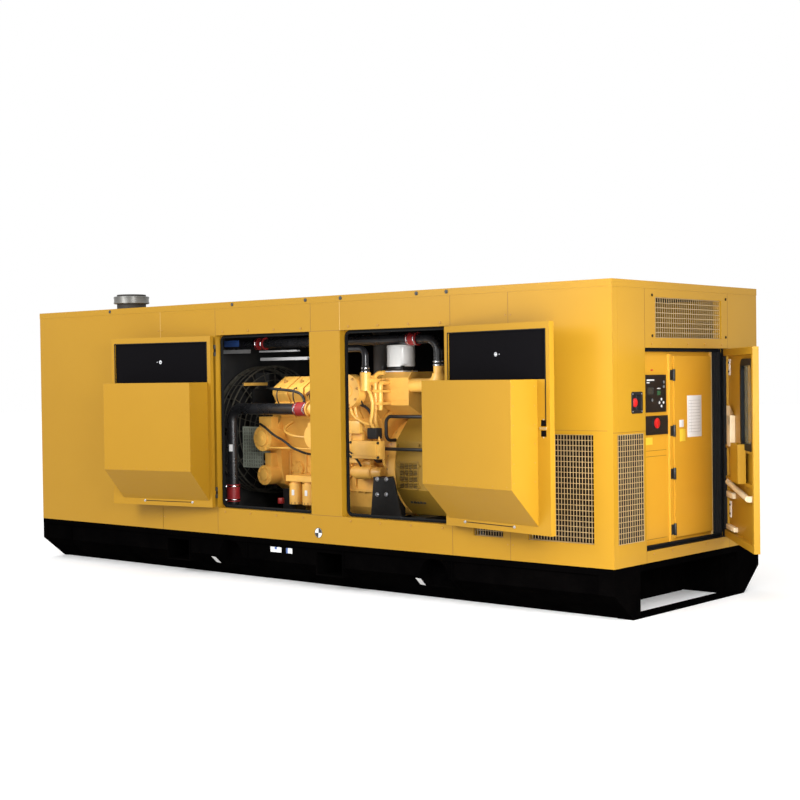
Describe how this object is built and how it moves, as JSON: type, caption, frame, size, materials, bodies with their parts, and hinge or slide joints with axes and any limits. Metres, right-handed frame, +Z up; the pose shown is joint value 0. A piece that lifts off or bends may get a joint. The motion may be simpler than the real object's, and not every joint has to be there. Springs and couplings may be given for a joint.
{
  "type": "silent generator set",
  "caption": "Diesel generator set in a sound-proof enclosure on a fuel-tank base, with two hinged engine doors and a control door standing open.",
  "frame": {"origin": "centre of the base underside, on the ground", "axes": "+X along the set towards the control end, the two engine doors face -Y, +Z up from the ground"},
  "size_m": [7.6848, 2.7287, 2.695],
  "materials": {
    "alternator_olive": "satin",
    "black_paint": "satin, black",
    "cable_black": "matt sleeve",
    "coupling_red": "silicone hose",
    "engine_yellow": "gloss enamel on castings",
    "filter_white": "gloss white",
    "foam": "open-cell acoustic foam",
    "galvanised": "bright zinc",
    "grille_paint": "satin, pale yellow",
    "guard_grey": "zinc mesh",
    "panel_plastic": "black",
    "pipe_black": "semi-gloss",
    "rubber": "matt",
    "window_glass": "tinted",
    "yellow_paint": "satin, yellow coach enamel"
  },
  "bodies": {
    "enclosure": {"base_front_rail": "black_paint", "base_rear_rail": "black_paint", "base_near_frame": "black_paint", "base_far_frame": "black_paint", "fuel_tank": "black_paint", "floor_plate": "black_paint", "front_wall_left": "yellow_paint", "front_pillar": "yellow_paint", "front_wall_right": "yellow_paint", "front_header": "yellow_paint", "front_sill": "yellow_paint", "near_wall_left": "yellow_paint", "near_wall_right": "yellow_paint", "near_header": "yellow_paint", "near_sill": "yellow_paint", "far_wall": "yellow_paint", "rear_wall": "yellow_paint", "rear_doors": "yellow_paint", "roof": "yellow_paint", "wall_lining": "foam", "door_frames": "yellow_paint", "door_seals": "rubber", "door_hinges": "black_paint", "side_grilles": "grille_paint", "near_grilles": "grille_paint", "roof_grille": "black_paint", "cabinet": "yellow_paint", "cabinet_door": "yellow_paint", "control_panels": "panel_plastic", "stop_box": "panel_plastic", "engine_block": "engine_yellow", "cylinder_heads": "engine_yellow", "gear_case": "engine_yellow", "flywheel_housing": "engine_yellow", "turbo_and_aftercooler": "engine_yellow", "air_filter": "filter_white", "oil_filters": "engine_yellow", "coolant_pump": "engine_yellow", "coolant_pipes": "pipe_black", "pipe_couplings": "coupling_red", "alternator": "alternator_olive", "machine_mounts": "black_paint", "radiator": "black_paint", "fan": "black_paint", "fan_guard": "black_paint", "belt_guard": "guard_grey", "cables": "cable_black", "silencer": "black_paint", "exhaust_clamp": "galvanised"},
    "left_engine_door": {"left_door_panel": "yellow_paint", "left_door_baffle": "yellow_paint", "left_door_foam": "foam", "left_door_latch": "galvanised"},
    "right_engine_door": {"right_door_panel": "yellow_paint", "right_door_baffle": "yellow_paint", "right_door_foam": "foam", "right_door_latch": "galvanised"},
    "control_end_door": {"end_door_panel": "yellow_paint", "end_door_window": "window_glass"}
  },
  "joints": [
    {"name": "left_door_hinge", "type": "hinge", "parent": "enclosure", "child": "left_engine_door", "pos_m": [-0.783, -1.112, 1.4], "axis": [0, 0, -1], "range_deg": [-170, 0]},
    {"name": "right_door_hinge", "type": "hinge", "parent": "enclosure", "child": "right_engine_door", "pos_m": [1.955, -1.112, 1.4], "axis": [0, 0, 1], "range_deg": [-169, 0]},
    {"name": "end_door_hinge", "type": "hinge", "parent": "enclosure", "child": "control_end_door", "pos_m": [3.462, 0.606, 1.2], "axis": [0, 0, 1], "range_deg": [-38.4, 71.6]}
  ]
}
